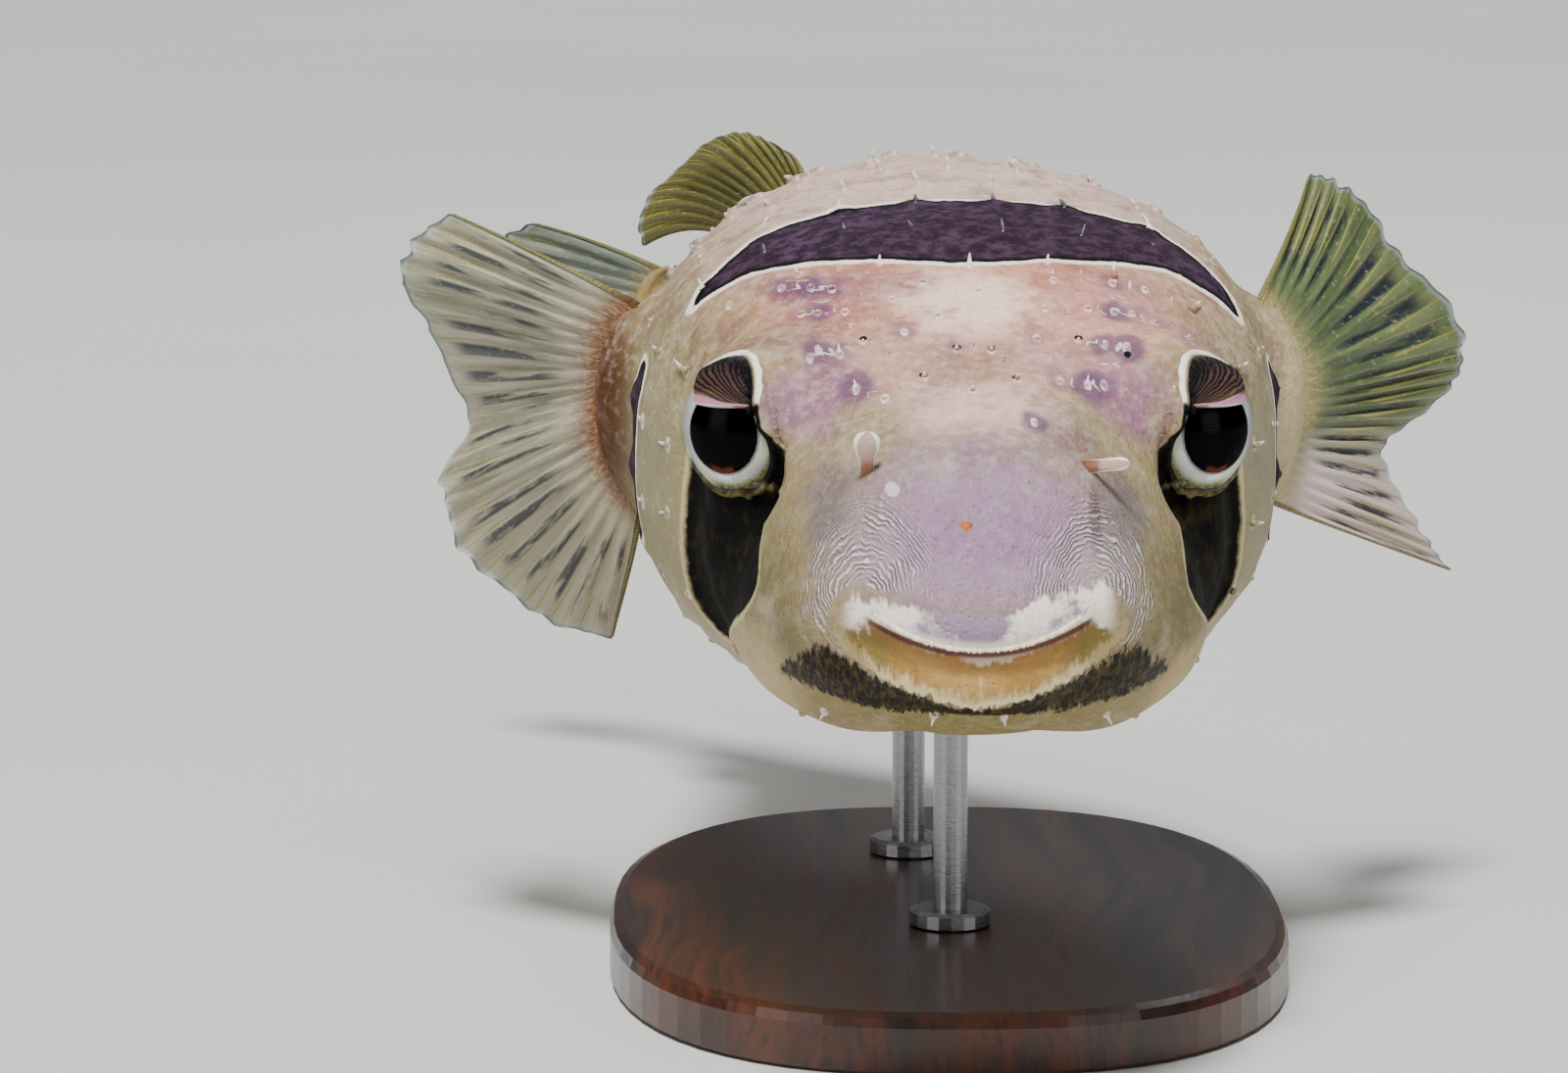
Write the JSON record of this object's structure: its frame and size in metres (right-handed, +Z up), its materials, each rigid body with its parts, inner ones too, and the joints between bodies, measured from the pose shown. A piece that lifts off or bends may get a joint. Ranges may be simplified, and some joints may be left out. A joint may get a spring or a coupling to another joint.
{
  "type": "porcupinefish model",
  "caption": "Life-size model of a swimming black-blotched porcupinefish, tail swung to its right, on a plain base with short rods.",
  "frame": {"origin": "on the floor, at the middle of the underside of the display base", "axes": "+Z up, -Y the way the snout points, +X the fish's left side"},
  "size_m": [0.1687, 0.2845, 0.1237],
  "materials": {
    "skin_head": "moist skin, pinkish tan with a dark nape band and dark patches below the eyes",
    "skin_trunk": "moist skin, greyish tan with white-edged dark blotches, pale belly and laid-back spines",
    "skin_tail": "moist skin, greyish tan",
    "fin": "thin olive-yellow membrane with pale rays and slate streaks",
    "eye": "wet, near black",
    "nostril": "soft pale skin",
    "wood": "dark satin varnish",
    "steel": "plain satin rod"
  },
  "bodies": {
    "root": {"head": "skin_head", "trunk": "skin_trunk", "tail": "skin_tail", "fin_pectoral_right": "fin", "fin_pectoral_left": "fin", "fin_dorsal": "fin", "fin_anal": "fin", "fin_caudal": "fin", "eye_right": "eye", "eye_left": "eye", "nostril_right": "nostril", "nostril_left": "nostril", "stand_base": "wood", "stand_rod_1": "steel", "stand_rod_2": "steel"}
  },
  "joints": []
}
